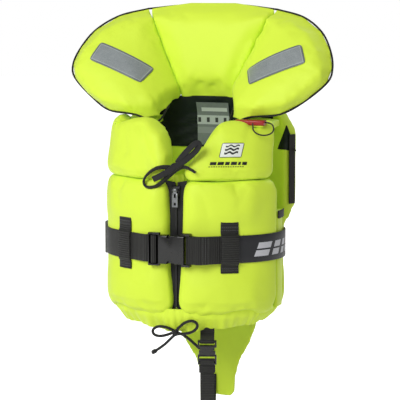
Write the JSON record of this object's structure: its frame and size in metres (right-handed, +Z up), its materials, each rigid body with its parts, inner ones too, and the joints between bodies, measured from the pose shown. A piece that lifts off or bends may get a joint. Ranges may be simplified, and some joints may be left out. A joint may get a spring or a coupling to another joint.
{
  "type": "life jacket",
  "caption": "Foam life jacket for a child: head-support collar, zipped padded front, waist belt and crotch strap with side-release buckles",
  "frame": {"origin": "on the axis of the wearer's torso, at shoulder height", "axes": "+Z up along the wearer's spine, +X to the wearer's left, the zipped front faces -Y"},
  "size_m": [0.3936, 0.2078, 0.5917],
  "materials": {
    "yellow_fabric": "coated polyester, satin",
    "foam": "closed-cell foam, matt",
    "dark_lining": "matt",
    "label_fabric": "printed, matt",
    "reflective_tape": "glass-bead reflective film",
    "slider_metal": "grey enamel, worn",
    "zip_moulded": "moulded",
    "black_binding": "woven tape",
    "buckle_plastic": "satin moulded acetal",
    "black_cord": "braided",
    "whistle_plastic": "gloss",
    "printed_webbing": "smooth woven, pale print",
    "black_webbing": "ribbed woven"
  },
  "bodies": {
    "jacket": {"armhole_bindings": "black_binding", "back_cover": "yellow_fabric", "back_foam": "foam", "back_lining": "dark_lining", "belt_keeper_left": "black_webbing", "belt_keeper_right": "black_webbing", "care_label": "label_fabric", "crotch_buckle_socket": "buckle_plastic", "crotch_flap": "yellow_fabric", "crotch_strap": "black_webbing", "crotch_tab": "black_webbing", "front_lower_left_cover": "yellow_fabric", "front_lower_left_foam": "foam", "front_lower_right_cover": "yellow_fabric", "front_lower_right_foam": "foam", "front_upper_left_cover": "yellow_fabric", "front_upper_left_foam": "foam", "front_upper_right_cover": "yellow_fabric", "front_upper_right_foam": "foam", "hem_casing": "yellow_fabric", "hem_cord_ball": "buckle_plastic", "hem_cord_knot": "black_cord", "hem_cord_left": "black_cord", "hem_cord_right": "black_cord", "neck_tie_knot": "black_cord", "neck_tie_left": "black_cord", "neck_tie_right": "black_cord", "shoulder_yokes": "yellow_fabric", "side_panels": "yellow_fabric", "waist_adjuster": "buckle_plastic", "waist_belt_printed": "printed_webbing", "waist_buckle_socket": "buckle_plastic", "waist_webbing_plug": "black_webbing", "waist_webbing_right": "black_webbing", "waist_webbing_socket": "black_webbing", "whistle_cord": "black_cord", "zip_guard": "yellow_fabric", "zip_stops": "zip_moulded", "zip_tapes": "black_binding", "zip_teeth": "zip_moulded"},
    "zip_slider_body": {"zip_slider": "slider_metal"},
    "zip_pull_body": {"zip_pull": "slider_metal"},
    "waist_plug_body": {"waist_buckle_plug": "buckle_plastic"},
    "waist_arm_upper_body": {"waist_latch_arm_upper": "buckle_plastic"},
    "waist_arm_lower_body": {"waist_latch_arm_lower": "buckle_plastic"},
    "crotch_plug_body": {"crotch_buckle_plug": "buckle_plastic"},
    "crotch_arm_left_body": {"crotch_latch_arm_left": "buckle_plastic"},
    "crotch_arm_right_body": {"crotch_latch_arm_right": "buckle_plastic"},
    "whistle_body": {"whistle": "whistle_plastic"},
    "collar_body": {"collar_centre_cover": "yellow_fabric", "collar_centre_foam": "foam", "collar_piping_centre": "black_binding"},
    "wing_left_body": {"collar_wing_cover_left": "yellow_fabric", "collar_wing_foam_left": "foam", "collar_piping_left": "black_binding", "reflective_patch_left": "reflective_tape"},
    "wing_right_body": {"collar_wing_cover_right": "yellow_fabric", "collar_wing_foam_right": "foam", "collar_piping_right": "black_binding", "reflective_patch_right": "reflective_tape"}
  },
  "joints": [
    {"name": "zip_slide", "type": "slide", "parent": "jacket", "child": "zip_slider_body", "axis": [0, 0, -1], "range_m": [0, 0.15], "deforming": ["zip_teeth"]},
    {"name": "zip_pull_swing", "type": "hinge", "parent": "zip_slider_body", "child": "zip_pull_body", "pos_m": [0, -0.0863, -0.102], "axis": [-1, 0, 0], "range_deg": [0, 120]},
    {"name": "waist_plug_release", "type": "slide", "parent": "jacket", "child": "waist_plug_body", "axis": [-1, 0, 0], "range_m": [0, 0.038], "deforming": ["waist_webbing_plug", "waist_latch_arm_upper", "waist_latch_arm_lower"]},
    {"name": "waist_latch_upper_squeeze", "type": "hinge", "parent": "waist_plug_body", "child": "waist_arm_upper_body", "pos_m": [-0.016, -0.102, -0.1683], "axis": [0, 1, 0], "range_deg": [0, 8], "stiffness_Nm_per_rad": 0.02},
    {"name": "waist_latch_lower_squeeze", "type": "hinge", "parent": "waist_plug_body", "child": "waist_arm_lower_body", "pos_m": [-0.016, -0.102, -0.1967], "axis": [0, -1, 0], "range_deg": [0, 8], "stiffness_Nm_per_rad": 0.02},
    {"name": "crotch_plug_release", "type": "slide", "parent": "jacket", "child": "crotch_plug_body", "axis": [0, 0, -1], "range_m": [0, 0.028], "deforming": ["crotch_latch_arm_left", "crotch_latch_arm_right"]},
    {"name": "crotch_latch_left_squeeze", "type": "hinge", "parent": "crotch_plug_body", "child": "crotch_arm_left_body", "pos_m": [0.05094, -0.08029, -0.33], "axis": [0.3007, -0.9537, 0], "range_deg": [0, 9], "stiffness_Nm_per_rad": 0.02},
    {"name": "crotch_latch_right_squeeze", "type": "hinge", "parent": "crotch_plug_body", "child": "crotch_arm_right_body", "pos_m": [0.04006, -0.08371, -0.33], "axis": [-0.3007, 0.9537, 0], "range_deg": [0, 9], "stiffness_Nm_per_rad": 0.02},
    {"name": "whistle_draw", "type": "slide", "parent": "jacket", "child": "whistle_body", "axis": [0, -1, 0], "range_m": [0, 0.04], "deforming": ["whistle_cord"]},
    {"name": "collar_tilt", "type": "hinge", "parent": "jacket", "child": "collar_body", "pos_m": [0, 0.061, 0.0152], "axis": [-1, 0, 0], "range_deg": [0, 28]},
    {"name": "collar_wing_left_fold", "type": "hinge", "parent": "collar_body", "child": "wing_left_body", "pos_m": [0.04081, 0.04351, 0.03325], "axis": [-0.4097, -0.1208, -0.9042], "range_deg": [0, 25]},
    {"name": "collar_wing_right_fold", "type": "hinge", "parent": "collar_body", "child": "wing_right_body", "pos_m": [-0.04081, 0.04351, 0.03325], "axis": [-0.4097, 0.1208, 0.9042], "range_deg": [0, 25]}
  ]
}
